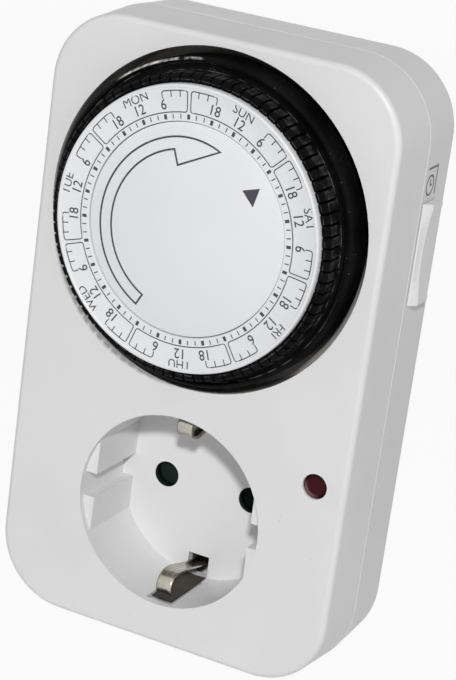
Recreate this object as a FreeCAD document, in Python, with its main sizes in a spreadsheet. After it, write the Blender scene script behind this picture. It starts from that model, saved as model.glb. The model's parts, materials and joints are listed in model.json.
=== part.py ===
# Plug-in weekly timer switch: earthed socket in front, plug behind, 84-tab dial above.
# Millimetres. +X right, +Z up, the front faces -Y. The origin is midway between the
# two plug pins, on the plug's end face.
import FreeCAD, Part
import Sketcher
import math
import os
from FreeCAD import Placement, Rotation, Vector

doc = FreeCAD.newDocument("PlugInTimer")

# Driving dimensions

DIMENSIONS = [
    ("half_width", 36.6, "half of the housing's width at the parting seam"),
    ("top_margin", 35.4, "top of the housing above the dial's axis"),
    ("bottom_edge", 28.4, "bottom of the housing below the socket's axis"),
    ("corner_radius", 15.0, "corners of the housing, seen from the front"),
    ("body_depth", 27.5, "housing from front face to back plate"),
    ("seam_depth", 12.6, "front face to parting seam"),
    ("front_lean", 0.8, "draft of the front shell, per side"),
    ("rear_lean", 0.5, "draft of the rear shell, per side"),
    ("front_round", 1.2, "rounding of the front edge"),
    ("rear_round", 3.0, "rounding of the rear edge"),
    ("wall", 2.0, "housing wall"),
    ("cup_radius", 19.5, "socket recess"),
    ("cup_depth", 17.4, "depth of the socket recess"),
    ("cup_wall", 1.6, "wall round the recess"),
    ("cup_floor", 2.0, "floor of the recess"),
    ("key_flat", 17.0, "guide blocks: distance from the axis"),
    ("key_gap", 2.5, "guide blocks: half of the channel between them"),
    ("key_drop", 1.5, "guide blocks: start below the front face"),
    ("pin_pitch", 19.0, "between the pin axes"),
    ("pin_radius", 2.4, "plug pin"),
    ("root_radius", 3.0, "plug pin where it is held in the plug"),
    ("pin_length", 19.0, "plug pin beyond the plug's end face"),
    ("entry_radius", 2.65, "pin entry in the recess floor"),
    ("slot_half", 2.3, "earth slot, half width"),
    ("plug_radius", 18.7, "plug body"),
    ("plug_length", 17.5, "plug body beyond the back plate"),
    ("plug_hollow", 15.0, "hollow of the plug body"),
    ("plug_end", 3.0, "end wall of the plug body"),
    ("dial_height", 58.5, "dial axis above the socket's axis"),
    ("well_radius", 32.8, "round opening for the dial"),
    ("well_depth", 8.0, "depth of the dial's well"),
    ("well_floor", 1.6, "floor of the well"),
    ("well_wall", 1.4, "wall round the well"),
    ("post_radius", 5.0, "fixed post that the wheel turns on"),
    ("running_gap", 0.05, "radial clearance of running fits"),
    ("dial_rise", 8.0, "top of the scale above the front face"),
    ("scale_radius", 26.9, "outer edge of the white scale"),
    ("cap_radius", 20.4, "centre cap"),
    ("cap_gap", 0.25, "gap between centre cap and scale"),
    ("cap_thick", 1.1, "thickness of cap and scale"),
    ("drum_wall", 1.8, "wall of the wheel's drum"),
    ("flange_radius", 31.0, "outer flange of the wheel"),
    ("flange_rise", 3.0, "flange above the front face"),
    ("flange_foot", 3.8, "underside of the flange below the front face"),
    ("web_top", 1.0, "web of the wheel: upper side below the front face"),
    ("web_thick", 1.6, "web of the wheel"),
    ("tab_count", 84, "switching tabs round the dial, one for two hours"),
    ("tab_depth", 1.7, "radial depth of a tab"),
    ("tab_width", 1.6, "width of a tab along the rim"),
    ("tab_gap", 0.06, "clearance of a tab in its slot"),
    ("tab_foot", 4.2, "lower end of a raised tab below the front face"),
    ("tab_travel", 3.0, "stroke of a tab"),
    ("lamp_inset", 7.2, "lamp window in from the side"),
    ("lamp_height", 14.3, "lamp window above the socket's axis"),
    ("lamp_radius", 2.5, "lamp window"),
    ("knob_length", 19.6, "mode slider along the side"),
    ("knob_width", 6.4, "mode slider, front to back"),
    ("knob_rise", 2.0, "ends of the slider above the side face"),
    ("knob_dip", 1.1, "hollow in the middle of the slider"),
    ("knob_front", 13.6, "slider's front edge behind the front face"),
    ("knob_travel", 4.0, "stroke of the slider"),
    ("stem_half", 2.5, "slider's stem, half length"),
    ("stem_thick", 2.4, "slider's stem, front to back"),
    ("ring_teeth", 72, "teeth under the wheel"),
    ("pinion_teeth", 12, "teeth of the arbor's pinion"),
    ("dial_module", 0.5, "tooth size of wheel and pinion"),
    ("big_teeth", 60, "teeth of the arbor's large gear"),
    ("motor_teeth", 10, "teeth of the motor pinion"),
    ("motor_module", 0.4, "tooth size of large gear and motor pinion"),
    ("motor_angle", 60.0, "direction from arbor to motor, in degrees"),
    ("motor_radius", 11.5, "motor can"),
    ("plate_depth", 20.0, "chassis plate behind the front face"),
    ("plate_thick", 1.4, "chassis plate"),
    ("carrier_thick", 3.0, "insulating block that holds the pins"),
    ("rivet_head", 0.8, "thickness and overhang of a pin's riveted head"),
    ("sleeve_radius", 3.3, "spring sleeves, outside"),
    ("strip_thick", 0.6, "contact strips"),
    ("strip_width", 3.5, "contact strips"),
    ("clip_seat", 17.2, "earth springs where they pass the housing, outer face"),
    ("screw_inset", 8.0, "housing screws in from the outline"),
    ("screw_radius", 1.5, "housing screw shank"),
    ("screw_head", 2.9, "housing screw head"),
    ("screw_sink", 4.0, "screw heads below the back plate"),
]

sheet = doc.addObject("Spreadsheet::Sheet", "Sizes")
for row, (alias, number, meaning) in enumerate(DIMENSIONS, start=1):
    sheet.set("A%d" % row, str(number))
    sheet.set("B%d" % row, meaning)
    sheet.setAlias("A%d" % row, alias)
doc.recompute()


class Size:
    """A number together with the sheet expression that gives it."""

    def __init__(self, value, text=None):
        self.value = float(value)
        self.text = text if text is not None else repr(round(float(value), 9))

    def join(self, other, sign, value):
        other = as_size(other)
        return Size(value(self.value, other.value), "(%s %s %s)" % (self.text, sign, other.text))

    def __add__(self, other):
        return self.join(other, "+", lambda a, b: a + b)

    def __radd__(self, other):
        return as_size(other) + self

    def __sub__(self, other):
        return self.join(other, "-", lambda a, b: a - b)

    def __rsub__(self, other):
        return as_size(other) - self

    def __mul__(self, other):
        return self.join(other, "*", lambda a, b: a * b)

    def __rmul__(self, other):
        return as_size(other) * self

    def __truediv__(self, other):
        return self.join(other, "/", lambda a, b: a / b)

    def __neg__(self):
        return as_size(0) - self


def as_size(number):
    return number if isinstance(number, Size) else Size(number)


class Sheet:
    """Gives every cell of the sheet as a Size under its alias."""

    def __getattr__(self, alias):
        return Size(sheet.get(alias), "Sizes." + alias)


S = Sheet()

# Places that several pieces share

front = -(S.body_depth + S.plug_length)
seam = front + S.seam_depth
top_edge = S.dial_height + S.top_margin
lamp_across = S.half_width - S.lamp_inset
back = -S.plug_length
half_pitch = S.pin_pitch / 2
cup_end = front + S.cup_depth
cup_back = cup_end + S.cup_floor
well_end = S.well_depth + S.well_floor
dial_top = -S.dial_rise
drum_top = dial_top + S.cap_thick
drum_outer = S.scale_radius
drum_inner = drum_outer - S.drum_wall
web_end = S.web_top + S.web_thick
tab_inner = drum_outer + S.tab_gap
tab_outer = tab_inner + S.tab_depth
tab_pitch = 360.0 / S.tab_count.value
tabs_per_day = int(S.tab_count.value) // 7
first_tab = 34
pin_shoulder = -(S.plug_end + S.carrier_thick)
pin_head = pin_shoulder - S.rivet_head
ring_pitch = S.ring_teeth * S.dial_module / 2
pinion_pitch = S.pinion_teeth * S.dial_module / 2
arbor_reach = ring_pitch + pinion_pitch
big_pitch = S.big_teeth * S.motor_module / 2
motor_pitch = S.motor_teeth * S.motor_module / 2
motor_reach = big_pitch + motor_pitch
motor_cos = math.cos(math.radians(S.motor_angle.value))
motor_sin = math.sin(math.radians(S.motor_angle.value))
motor_x = -arbor_reach + motor_reach * motor_cos
motor_z = S.dial_height + motor_reach * motor_sin
screw_across = S.half_width - S.screw_inset
screw_top = top_edge - S.screw_inset
screw_bottom = S.screw_inset - S.bottom_edge
screw_places = [
    (screw_across, screw_top),
    (-screw_across, screw_top),
    (screw_across, screw_bottom),
    (-screw_across, screw_bottom),
]

nodes = []


def keep(piece, label):
    """Registers a finished sub-part under its node name."""
    piece.Label = label
    nodes.append(piece)
    return piece


# Sketches and features of PartDesign bodies


def new_body(label, x=0, y=0, z=0, turn=0.0):
    """An empty body at a place; turn is in degrees, from +X towards +Z."""
    body = doc.addObject("PartDesign::Body", label)
    body.Placement = Placement(Vector(0, 0, 0), Rotation(Vector(0, -1, 0), turn))
    for axis, number in (("x", x), ("y", y), ("z", z)):
        body.setExpression(".Placement.Base." + axis, as_size(number).text)
    return keep(body, label)


def new_sketch(body, plane, offset=0):
    """A sketch on one of the body's own planes, moved along that plane's normal."""
    sketch = body.newObject("Sketcher::SketchObject", body.Label + "_sketch")
    support = [item for item in body.Origin.OriginFeatures if item.Role == plane + "_Plane"]
    sketch.AttachmentSupport = [(support[0], "")]
    sketch.MapMode = "FlatFace"
    offset = as_size(offset)
    # The XZ plane's normal points to -Y, so a place along +Y is a negative offset.
    shift = -offset if plane == "XZ" else offset
    sketch.AttachmentOffset = Placement(Vector(0, 0, shift.value), Rotation())
    sketch.setExpression(".AttachmentOffset.Base.z", shift.text)
    return sketch


def fix(sketch, kind, number, *where):
    """Adds one dimension to the sketch and ties it to the sheet."""
    number = as_size(number)
    index = sketch.addConstraint(Sketcher.Constraint(kind, *where, number.value))
    sketch.setExpression("Constraints[%d]" % index, number.text)


def add_loop(sketch, corners):
    """A closed straight-sided loop through the corners."""
    corners = [(as_size(a), as_size(b)) for a, b in corners]
    first = sketch.GeometryCount
    count = len(corners)
    for index in range(count):
        start = corners[index]
        end = corners[(index + 1) % count]
        line = Part.LineSegment(
            Vector(start[0].value, start[1].value, 0), Vector(end[0].value, end[1].value, 0)
        )
        sketch.addGeometry(line, False)
    for index in range(count):
        after = first + (index + 1) % count
        sketch.addConstraint(Sketcher.Constraint("Coincident", first + index, 2, after, 1))
    for index in range(count):
        fix(sketch, "DistanceX", corners[index][0], -1, 1, first + index, 1)
        fix(sketch, "DistanceY", corners[index][1], -1, 1, first + index, 1)


def box_corners(left, low, right, high):
    return [(left, low), (right, low), (right, high), (left, high)]


def outline(body, plane, offset, *loops):
    sketch = new_sketch(body, plane, offset)
    for corners in loops:
        add_loop(sketch, corners)
    return sketch


def circles(body, plane, offset, *rounds):
    """Circles given as (across, up, radius)."""
    sketch = new_sketch(body, plane, offset)
    for across, up, radius in rounds:
        across, up, radius = as_size(across), as_size(up), as_size(radius)
        centre = Vector(across.value, up.value, 0)
        index = sketch.addGeometry(Part.Circle(centre, Vector(0, 0, 1), radius.value), False)
        fix(sketch, "DistanceX", across, -1, 1, index, 3)
        fix(sketch, "DistanceY", up, -1, 1, index, 3)
        fix(sketch, "Radius", radius, index)
    return sketch


def rounded(body, offset, inset):
    """The housing's rounded rectangle on an XZ plane, drawn in by inset."""
    inset = as_size(inset)
    right = S.half_width - inset
    top = top_edge - inset
    low = -(S.bottom_edge - inset)
    radius = S.corner_radius - inset
    sketch = new_sketch(body, "XZ", offset)
    r, t, b, c = right.value, top.value, low.value, radius.value
    sides = [
        ((r, b + c), (r, t - c)),
        ((r - c, t), (-r + c, t)),
        ((-r, t - c), (-r, b + c)),
        ((-r + c, b), (r - c, b)),
    ]
    centres = [(r - c, t - c), (-r + c, t - c), (-r + c, b + c), (r - c, b + c)]
    for index in range(4):
        start, end = sides[index]
        sketch.addGeometry(Part.LineSegment(Vector(*start, 0), Vector(*end, 0)), False)
        circle = Part.Circle(Vector(*centres[index], 0), Vector(0, 0, 1), c)
        from_angle = math.radians(90 * index)
        sketch.addGeometry(Part.ArcOfCircle(circle, from_angle, from_angle + math.pi / 2), False)
    for index in range(4):
        line = 2 * index
        arc = line + 1
        sketch.addConstraint(Sketcher.Constraint("Tangent", line, 2, arc, 1))
        sketch.addConstraint(Sketcher.Constraint("Tangent", arc, 2, (line + 2) % 8, 1))
    sketch.addConstraint(Sketcher.Constraint("Vertical", 0))
    sketch.addConstraint(Sketcher.Constraint("Horizontal", 2))
    for arc in (3, 5, 7):
        sketch.addConstraint(Sketcher.Constraint("Equal", 1, arc))
    fix(sketch, "Radius", radius, 1)
    fix(sketch, "DistanceX", right, -1, 1, 0, 1)
    fix(sketch, "DistanceX", -right, -1, 1, 4, 1)
    fix(sketch, "DistanceY", top, -1, 1, 2, 1)
    fix(sketch, "DistanceY", low, -1, 1, 6, 1)
    return sketch


def feature(body, kind, **settings):
    """Adds a feature, gives it its settings and makes sure that it changed the solid."""
    before = body.Shape.Volume if body.Tip else 0.0
    item = body.newObject("PartDesign::" + kind, body.Label + "_" + kind)
    for name, setting in settings.items():
        if isinstance(setting, Size):
            item.setExpression(name, setting.text)
        else:
            setattr(item, name, setting)
    doc.recompute()
    if abs(item.Shape.Volume - before) < 1e-6:
        raise RuntimeError("%s of %s changes nothing" % (kind, body.Label))
    return item


def revolve(body, corners, cutting=False):
    """Turns a profile of (radius, place along Y) round the body's Y axis."""
    sketch = outline(body, "XY", 0, corners)
    kind = "Groove" if cutting else "Revolution"
    feature(body, kind, Profile=sketch, ReferenceAxis=(sketch, ["V_Axis"]), Angle=360.0)
    return sketch


def pad(body, sketch, length, toward_back=True):
    return feature(body, "Pad", Profile=sketch, Length=as_size(length), Reversed=toward_back)


def pocket(body, sketch, length, toward_front=False):
    return feature(body, "Pocket", Profile=sketch, Length=as_size(length), Reversed=toward_front)


def shell_block(body, kind, inset, depth, lean, toward_front):
    """The housing's outline swept from the seam, drawn in by lean over the depth."""
    sketch = rounded(body, seam, inset)
    angle = -math.degrees(math.atan(lean.value / depth.value))
    taper = Size(angle, "-atan(%s / %s)" % (lean.text, depth.text))
    reverse = toward_front if kind == "Pocket" else not toward_front
    return feature(body, kind, Profile=sketch, Length=depth, TaperAngle=taper, Reversed=reverse)


def round_edges(body, chosen, radius):
    """Fillets the edges of the body's last feature that the test picks."""
    names = [
        "Edge%d" % index
        for index, edge in enumerate(body.Tip.Shape.Edges, start=1)
        if chosen(edge.BoundBox)
    ]
    return feature(body, "Fillet", Base=(body.Tip, names), Radius=as_size(radius))


def repeat(body, item, axis_sketch, count, angle=360.0):
    """Repeats a feature round the body's Y axis."""
    before = item.Shape.Volume
    pattern = body.newObject("PartDesign::PolarPattern", body.Label + "_pattern")
    pattern.Originals = [item]
    pattern.Axis = (axis_sketch, ["V_Axis"])
    pattern.Angle = angle
    if isinstance(count, Size):
        pattern.setExpression("Occurrences", count.text)
    else:
        pattern.Occurrences = count
    body.Tip = pattern
    doc.recompute()
    if abs(pattern.Shape.Volume - before) < 1e-6:
        raise RuntimeError("the pattern of %s changes nothing" % body.Label)
    return pattern


def cut_teeth(body, axis_sketch, module, teeth, start, length):
    """Cuts straight-flanked tooth spaces into a blank, the first one on +X."""
    pitch_radius = module * teeth / 2
    root = pitch_radius - module * 1.2
    tip = pitch_radius + module * 1.2
    half_space = module * (math.pi * 0.30)
    slope = math.tan(math.radians(20))
    half_root = half_space - module * (1.2 * slope)
    half_tip = half_space + module * (1.2 * slope)
    corners = [(root, -half_root), (tip, -half_tip), (tip, half_tip), (root, half_root)]
    sketch = outline(body, "XZ", start, corners)
    space = pocket(body, sketch, length)
    repeat(body, space, axis_sketch, teeth)


# Primitives and booleans, for plain pieces


def put(item, x, y, z, rotation=None):
    item.Placement = Placement(Vector(0, 0, 0), rotation or Rotation())
    for axis, number in (("x", x), ("y", y), ("z", z)):
        item.setExpression(".Placement.Base." + axis, as_size(number).text)
    return item


def block(low, size):
    """A box from its low corner and its three lengths."""
    item = doc.addObject("Part::Box", "block")
    for name, number in zip(("Length", "Width", "Height"), size):
        item.setExpression(name, as_size(number).text)
    return put(item, *low)


def rod(start, radius, length, along="Y"):
    """A cylinder from the centre of its first end, along +Y or +Z."""
    item = doc.addObject("Part::Cylinder", "rod")
    item.setExpression("Radius", as_size(radius).text)
    item.setExpression("Height", as_size(length).text)
    turn = Rotation(Vector(1, 0, 0), -90) if along == "Y" else Rotation()
    return put(item, *start, turn)


def joined(pieces):
    item = doc.addObject("Part::MultiFuse", "joined")
    item.Shapes = pieces
    return item


def less(base, tools):
    item = doc.addObject("Part::Cut", "less")
    item.Base = base
    item.Tool = tools[0] if len(tools) == 1 else joined(tools)
    return item


# Front shell: dial well, socket cup, lamp hole, bosses


def make_front_cover():
    body = new_body("front_cover")
    shell_block(body, "Pad", 0, S.seam_depth, S.front_lean, toward_front=True)
    low = front.value - 0.01
    high = front.value + 0.01
    round_edges(body, lambda box: low < box.YMin and box.YMax < high, S.front_round)
    room = S.seam_depth - S.wall
    shell_block(body, "Pocket", S.wall, room, S.front_lean, toward_front=True)

    start = front + S.wall / 2
    well_outer = S.well_radius + S.well_wall
    pad(body, circles(body, "XZ", start, (0, S.dial_height, well_outer)), well_end - S.wall / 2)
    cup_outer = S.cup_radius + S.cup_wall
    cup_length = S.cup_depth + S.cup_floor - S.wall / 2
    pad(body, circles(body, "XZ", start, (0, 0, cup_outer)), cup_length)
    bosses = [(x, z, S.screw_radius + 1.5) for x, z in screw_places]
    pad(body, circles(body, "XZ", start, *bosses), S.seam_depth - S.wall / 2)
    lamp = (lamp_across, S.lamp_height)
    pad(body, circles(body, "XZ", start, (*lamp, S.lamp_radius + 1.2)), 5.0)
    pillars = [(x, z, 2.4) for x, z in pillar_places()]
    pillar_start = front + well_end - 0.8
    pillar_length = S.plate_depth - well_end + 0.8
    pad(body, circles(body, "XZ", pillar_start, *pillars), pillar_length)

    pocket(body, circles(body, "XZ", front, (0, S.dial_height, S.well_radius)), S.well_depth)
    floor_top = front + S.well_depth
    post = circles(body, "XZ", floor_top, (0, S.dial_height, S.post_radius))
    pad(body, post, S.well_depth - drum_top, toward_back=False)
    bore = circles(body, "XZ", front + drum_top, (0, S.dial_height, 2.2))
    pocket(body, bore, 8.0)
    pocket(body, circles(body, "XZ", front, (0, 0, S.cup_radius)), S.cup_depth)
    add_guides(body)
    cut_socket_floor(body)

    arbor_hole = circles(body, "XZ", floor_top, (-arbor_reach, S.dial_height, pinion_pitch + 1))
    pocket(body, arbor_hole, S.well_floor)
    nose_left = tab_inner - 0.5
    nose_right = tab_outer + 0.5
    corners = box_corners(nose_left, S.dial_height - 1.6, nose_right, S.dial_height + 1.6)
    pocket(body, outline(body, "XZ", floor_top, corners), S.well_floor)
    pilots = [(x, z, S.screw_radius) for x, z in screw_places]
    pocket(body, circles(body, "XZ", seam, *pilots), 9.0, toward_front=True)
    plate_pilots = [(x, z, 1.0) for x, z in pillar_places()]
    plate_back = front + S.plate_depth
    pocket(body, circles(body, "XZ", plate_back, *plate_pilots), 8.0, toward_front=True)
    pocket(body, circles(body, "XZ", front, (*lamp, S.lamp_radius)), 6.0 + S.wall)


def pillar_places():
    """Pillars under the well that carry the chassis plate."""
    z = S.dial_height
    return [(-arbor_reach - 3.0, z - 18.5), (6.0, z - 25.0), (18.0, z + 18.0)]


def add_guides(body):
    """Two flat guide blocks each side of the recess, with a channel between them."""
    outer = S.cup_radius + S.cup_wall / 2
    ends = [
        (S.key_flat, S.key_gap),
        (outer, S.key_gap),
        (outer - 2.1, S.key_gap + 7.2),
        (S.key_flat, S.key_gap + 7.0),
    ]
    loops = []
    for side in (1, -1):
        for half in (1, -1):
            loops.append([(x * side, z * half) for x, z in ends])
    sketch = outline(body, "XZ", front + S.key_drop, *loops)
    pad(body, sketch, S.cup_depth - S.key_drop + 0.5)


def cut_socket_floor(body):
    """Pin entries, earth slots through the floor, and the channels behind the earth clips."""
    holes = [(half_pitch, 0, S.entry_radius), (-half_pitch, 0, S.entry_radius)]
    pocket(body, circles(body, "XZ", cup_end, *holes), S.cup_floor)
    slots = []
    channels = []
    wide = S.slot_half + 0.6
    for half in (1, -1):
        high = (S.cup_radius - 0.1) * half
        slots.append(box_corners(-S.slot_half, 14.8 * half, S.slot_half, high))
        high = (S.cup_radius + 1.0) * half
        channels.append(box_corners(-wide, 18.4 * half, wide, high))
    pocket(body, outline(body, "XZ", cup_end, *slots), S.cup_floor)
    pocket(body, outline(body, "XZ", front + S.key_drop, *channels), S.cup_depth - S.key_drop)
    peg = circles(body, "XZ", cup_back, (0, 0, 2.0))
    pad(body, peg, 2.6)


# Rear shell: back plate, plug body, screw posts, slider slot


def make_rear_cover():
    body = new_body("rear_cover")
    depth = S.body_depth - S.seam_depth
    shell_block(body, "Pad", 0, depth, S.rear_lean, toward_front=False)
    low = back.value - 0.01
    high = back.value + 0.01
    round_edges(body, lambda box: low < box.YMin and box.YMax < high, S.rear_round)
    shell_block(body, "Pocket", S.wall, depth - S.wall, S.rear_lean, toward_front=False)

    plug_start = back - S.wall / 2
    pad(body, circles(body, "XZ", plug_start, (0, 0, S.plug_radius)), S.plug_length + S.wall / 2)
    posts = [(x, z, S.screw_head + 1.0) for x, z in screw_places]
    post_length = S.body_depth - S.seam_depth - S.wall / 2
    pad(body, circles(body, "XZ", seam, *posts), post_length)
    chamfer_plug_end(body)

    hollow_start = back - S.wall
    hollow_length = S.plug_length + S.wall - S.plug_end
    pocket(body, circles(body, "XZ", hollow_start, (0, 0, S.plug_hollow)), hollow_length)
    reach = S.plug_radius + 1.0
    flats = []
    notches = []
    notch_low = S.clip_seat - S.strip_thick - 0.3
    for side in (1, -1):
        near = (S.key_flat - 0.4) * side
        far = reach * side
        for half in (1, -1):
            low = (S.key_gap - 0.4) * half
            flats.append(box_corners(near, low, far, 10.0 * half))
        notches.append(box_corners(-3.2, notch_low * side, 3.2, far))
    pocket(body, outline(body, "XZ", back, *flats), S.plug_length)
    notch_length = S.wall + S.plug_length - 1.5
    pocket(body, outline(body, "XZ", hollow_start, *notches), notch_length)

    pins = [(half_pitch, 0, S.root_radius), (-half_pitch, 0, S.root_radius)]
    pocket(body, circles(body, "XZ", -S.plug_end, *pins), S.plug_end)
    shanks = [(x, z, S.screw_radius + 0.2) for x, z in screw_places]
    pocket(body, circles(body, "XZ", seam, *shanks), S.body_depth - S.seam_depth)
    heads = [(x, z, S.screw_head + 0.2) for x, z in screw_places]
    pocket(body, circles(body, "XZ", back, *heads), S.screw_sink, toward_front=True)
    knob_mid = front + S.knob_front + S.knob_width / 2
    slot_low = S.dial_height - S.stem_half - S.knob_travel - 0.3
    slot_high = S.dial_height + S.stem_half + 0.3
    thick = S.stem_thick / 2 + 0.3
    corners = box_corners(knob_mid - thick, slot_low, knob_mid + thick, slot_high)
    pocket(body, outline(body, "YZ", S.half_width, corners), S.wall + S.rear_lean + 0.6)


def chamfer_plug_end(body):
    """Bevels the rim of the plug's end face."""
    names = [
        "Edge%d" % index
        for index, edge in enumerate(body.Tip.Shape.Edges, start=1)
        if abs(edge.BoundBox.YMin) < 0.01 and abs(edge.BoundBox.YMax) < 0.01
    ]
    feature(body, "Chamfer", Base=(body.Tip, names), Size=as_size(1.0))


# Dial: wheel, scale, cap and the tabs of seven days


def make_dial_wheel():
    body = new_body("dial_wheel", 0, front, S.dial_height)
    bore = S.post_radius + S.running_gap
    hub = S.post_radius + 2.5
    gear_tip = ring_pitch + S.dial_module * 0.9
    gear_inner = ring_pitch - 2.6
    gear_end = web_end + 3.8
    hub_start = drum_top + 0.2
    hub_end = S.well_depth - 0.2
    groove = tab_outer + 0.7
    profile = [
        (bore, hub_start),
        (hub, hub_start),
        (hub, S.web_top),
        (drum_inner, S.web_top),
        (drum_inner, drum_top),
        (drum_outer, drum_top),
        (drum_outer, -S.flange_rise),
        (groove, -S.flange_rise),
        (groove, -S.flange_rise + 0.9),
        (groove + 0.8, -S.flange_rise + 0.9),
        (groove + 0.8, -S.flange_rise),
        (S.flange_radius - 0.4, -S.flange_rise),
        (S.flange_radius, -S.flange_rise + 0.4),
        (S.flange_radius, S.flange_foot),
        (drum_inner, S.flange_foot),
        (drum_inner, web_end),
        (gear_tip, web_end),
        (gear_tip, gear_end),
        (gear_inner, gear_end),
        (gear_inner, web_end),
        (hub, web_end),
        (hub, hub_end),
        (bore, hub_end),
    ]
    turned = revolve(body, profile)
    half = S.tab_width / 2 + S.tab_gap
    corners = box_corners(drum_outer - 0.1, -half, tab_outer + S.tab_gap, half)
    slot = pocket(body, outline(body, "XZ", -S.flange_rise, corners), S.flange_rise + S.flange_foot)
    repeat(body, slot, turned, S.tab_count)
    cut_teeth(body, turned, S.dial_module, S.ring_teeth, web_end, 3.8)


def make_scale_ring():
    body = new_body("scale_ring", 0, front, S.dial_height)
    inner = S.cap_radius + S.cap_gap
    profile = [
        (inner, drum_top),
        (inner, dial_top),
        (S.scale_radius - 0.9, dial_top),
        (S.scale_radius - 0.6, dial_top - 0.25),
        (S.scale_radius - 0.25, dial_top - 0.25),
        (S.scale_radius, dial_top),
        (S.scale_radius, drum_top),
    ]
    revolve(body, profile)


def make_centre_cap():
    body = new_body("centre_cap", 0, front, S.dial_height)
    profile = [
        (0, dial_top),
        (S.cap_radius - 0.3, dial_top),
        (S.cap_radius, dial_top + 0.3),
        (S.cap_radius, drum_top),
        (2.2, drum_top),
        (2.2, drum_top + 7.5),
        (0, drum_top + 7.5),
    ]
    revolve(body, profile)


def make_tabs():
    """Twelve tabs a day, each a flat blade with a bevelled finger end and a narrower foot."""
    for day in range(7):
        turn = (first_tab + day * tabs_per_day) * tab_pitch
        body = new_body("tabs_day_%d" % (day + 1), 0, front, S.dial_height, turn)
        top = drum_top - 0.6
        profile = [
            (tab_inner, top + 0.2),
            (tab_inner + 0.3, top),
            (tab_outer - 0.5, top),
            (tab_outer, top + 0.6),
            (tab_outer, S.tab_foot - 0.8),
            (tab_outer - 0.4, S.tab_foot),
            (tab_inner, S.tab_foot),
        ]
        sketch = outline(body, "XY", 0, profile)
        blade = feature(body, "Pad", Profile=sketch, Length=S.tab_width, Midplane=True)
        if tabs_per_day > 1:
            repeat(body, blade, sketch, tabs_per_day, tab_pitch * (tabs_per_day - 1))


# Mechanism behind the well


def make_transfer_gear():
    """Arbor with a pinion under the wheel and a large gear under the well."""
    turn = 180.0 / S.pinion_teeth.value
    body = new_body("transfer_gear", -arbor_reach, front, S.dial_height, turn)
    arbor = 1.0
    hub = 1.5
    pinion_tip = pinion_pitch + S.dial_module * 0.9
    big_tip = big_pitch + S.motor_module * 0.9
    pinion_start = web_end + 0.4
    gear_start = well_end + 0.6
    profile = [
        (0, pinion_start),
        (pinion_tip, pinion_start),
        (pinion_tip, pinion_start + 3.2),
        (pinion_pitch - 1.0, pinion_start + 3.2),
        (pinion_pitch - 1.0, gear_start),
        (big_tip, gear_start),
        (big_tip, gear_start + 1.6),
        (hub, gear_start + 1.6),
        (hub, S.plate_depth - 0.3),
        (arbor, S.plate_depth - 0.3),
        (arbor, S.plate_depth + S.plate_thick),
        (0, S.plate_depth + S.plate_thick),
    ]
    turned = revolve(body, profile)
    cut_teeth(body, turned, S.dial_module, S.pinion_teeth, pinion_start, 3.2)
    cut_teeth(body, turned, S.motor_module, S.big_teeth, gear_start, 1.6)


def motor_phase():
    """Turn that puts a tooth of the motor pinion into a space of the large gear."""
    step = 360.0 / S.motor_teeth.value
    toward_arbor = S.motor_angle.value + 180.0
    big_step = 360.0 / S.big_teeth.value
    space_error = (S.motor_angle.value - 180.0 / S.pinion_teeth.value) % big_step
    lead = space_error * S.big_teeth.value / S.motor_teeth.value
    return (toward_arbor + step / 2 + lead) % step


def make_motor():
    body = new_body("motor_pinion", motor_x, front, motor_z, motor_phase())
    tip = motor_pitch + S.motor_module * 0.9
    start = well_end + 0.5
    end = start + 1.9
    profile = [(0, start), (tip, start), (tip, end), (0.7, end), (0.7, end + 3.0), (0, end + 3.0)]
    turned = revolve(body, profile)
    cut_teeth(body, turned, S.motor_module, S.motor_teeth, start, 1.9)

    can_start = end + 0.3
    can_length = S.plate_depth - can_start
    can = rod((motor_x, front + can_start, motor_z), S.motor_radius, can_length)
    lug_y = front + S.plate_depth - 1.0
    lug = block((motor_x - 2.0, lug_y, motor_z + S.motor_radius - 1.0), (4.0, 1.0, 3.0))
    bore = rod((motor_x, front + can_start, motor_z), 0.75, can_length - 2.0)
    keep(less(joined([can, lug]), [bore]), "motor_can")


def make_chassis():
    """Plate behind the wheelwork, held on three pillars, with the arbor's bearing."""
    start = front + S.plate_depth
    body = new_body("chassis_plate")
    z = S.dial_height
    edge = S.half_width - 4.6
    corners = [
        (-edge, z - 14), (3 - edge, z - 22), (-2, z - 28), (12, z - 28), (edge, z - 12),
        (edge, z + 8), (24, z + 17), (14, z + 25), (-24, z + 25), (-edge, z + 18),
    ]
    pad(body, outline(body, "XZ", start, corners), S.plate_thick)
    holes = [(-arbor_reach, z, 1.0 + S.running_gap)]
    holes += [(x, height, 1.1) for x, height in pillar_places()]
    pocket(body, circles(body, "XZ", start, *holes), S.plate_thick)
    windows = [box_corners(x - 1.4, z - 2.5, x + 1.4, z + 0.5) for x in terminal_places()]
    pocket(body, outline(body, "XZ", start, *windows), S.plate_thick)
    screws = []
    for x, height in pillar_places():
        head = rod((x, start + S.plate_thick, height), 2.0, 1.2)
        shank = rod((x, start - 6.0, height), 0.95, S.plate_thick + 6.0)
        slit = block((x - 2.2, start + S.plate_thick + 0.7, height - 0.3), (4.4, 1.0, 0.6))
        screws.append(less(joined([head, shank]), [slit]))
    group = doc.addObject("Part::Compound", "group")
    group.Links = screws
    keep(group, "chassis_screws")


def terminal_places():
    """Places across of the snap switch's two terminals, above the strips they end on."""
    return [4.4, half_pitch]


def strip_front():
    """Front face of the strips where they run up behind the chassis plate."""
    return front + S.plate_depth + S.plate_thick + 2.0


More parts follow.
